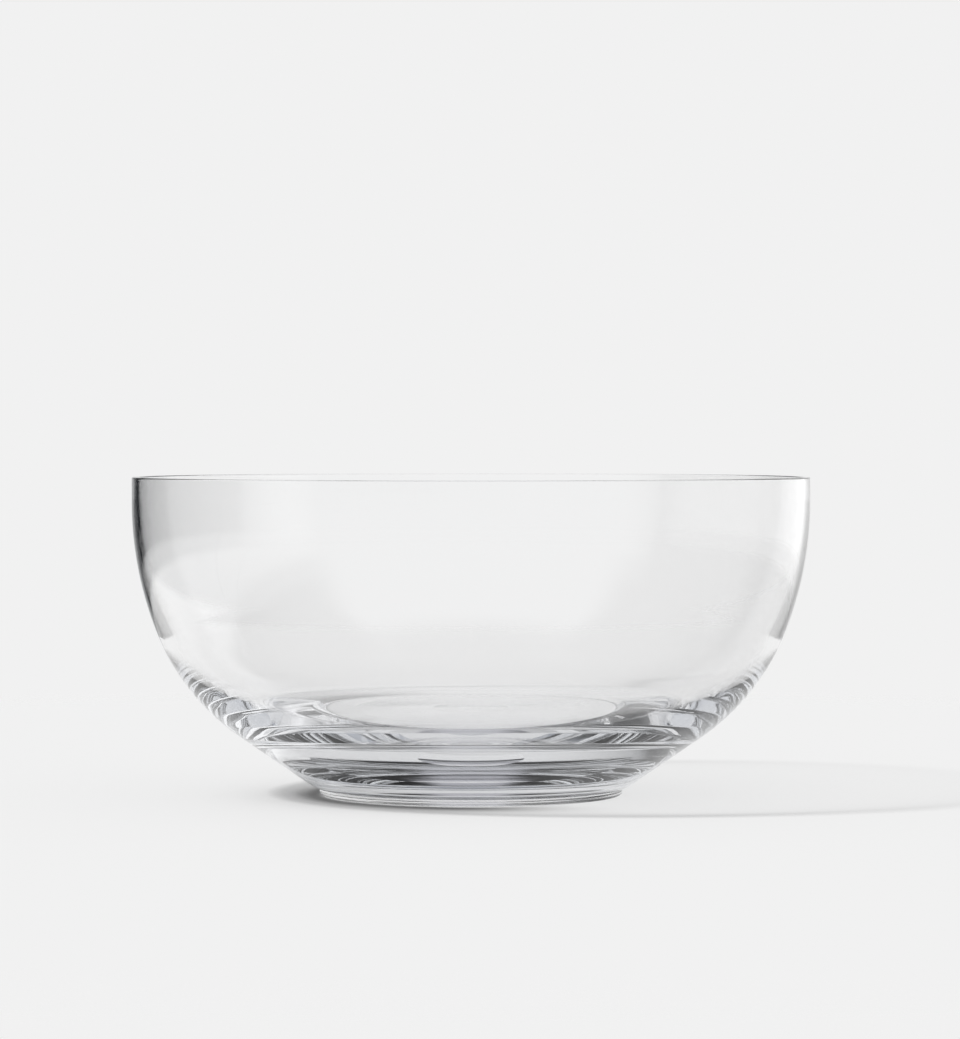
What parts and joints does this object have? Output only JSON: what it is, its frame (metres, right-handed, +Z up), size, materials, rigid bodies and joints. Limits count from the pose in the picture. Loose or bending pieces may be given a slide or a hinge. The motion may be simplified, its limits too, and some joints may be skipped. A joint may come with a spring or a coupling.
{
  "type": "serving bowl",
  "caption": "Wide clear glass serving bowl with an upright thin polished rim, rounded sides that thicken into a heavy clear base, and a low round foot.",
  "frame": {"origin": "centre of the plane that the foot rests on", "axes": "+Z up along the axis of revolution; X and Y are alike, and -Y is the side that the picture shows"},
  "size_m": [0.25, 0.25, 0.1175],
  "materials": {
    "clear_glass": "clear, fire-polished, smooth"
  },
  "bodies": {
    "root": {"bowl": "clear_glass", "foot": "clear_glass"}
  },
  "joints": []
}
